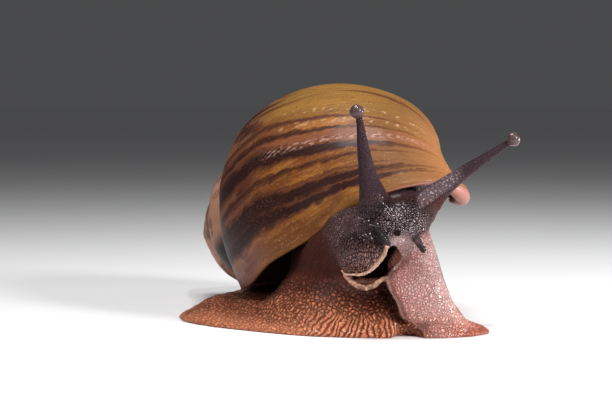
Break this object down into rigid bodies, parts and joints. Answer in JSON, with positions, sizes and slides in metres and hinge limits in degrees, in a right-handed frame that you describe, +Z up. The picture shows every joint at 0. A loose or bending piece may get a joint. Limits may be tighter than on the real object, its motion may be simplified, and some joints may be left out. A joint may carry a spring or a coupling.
{
  "type": "giant african land snail",
  "caption": "Still, life-size giant african land snail crawling with its head raised, eye stalks out and a tall spiral shell on its back.",
  "frame": {"origin": "on the floor under the middle of the whole animal", "axes": "+Z up, -Y the way the animal faces, +X the animal's left"},
  "size_m": [0.071, 0.0928, 0.0516],
  "materials": {
    "shell": "glossy horn-coloured shell with dark growth streaks",
    "skin": "wet, finely grained purple-brown skin",
    "foot": "wet, grooved orange-brown skin",
    "eye": "glossy rounded eye bulb"
  },
  "bodies": {
    "root": {"shell_upper_whorls": "shell", "shell_penultimate_whorl": "shell", "shell_body_whorl": "shell", "eye_right": "eye", "eye_stalk_right": "skin", "feeler_right": "skin", "eye_left": "eye", "eye_stalk_left": "skin", "feeler_left": "skin", "lip_lower": "skin", "lip_right": "skin", "lip_left": "skin", "head": "skin", "mantle": "skin", "neck": "skin", "foot_front_right": "foot", "foot_front_left": "foot", "foot_middle": "foot", "foot_tail": "foot"}
  },
  "joints": []
}
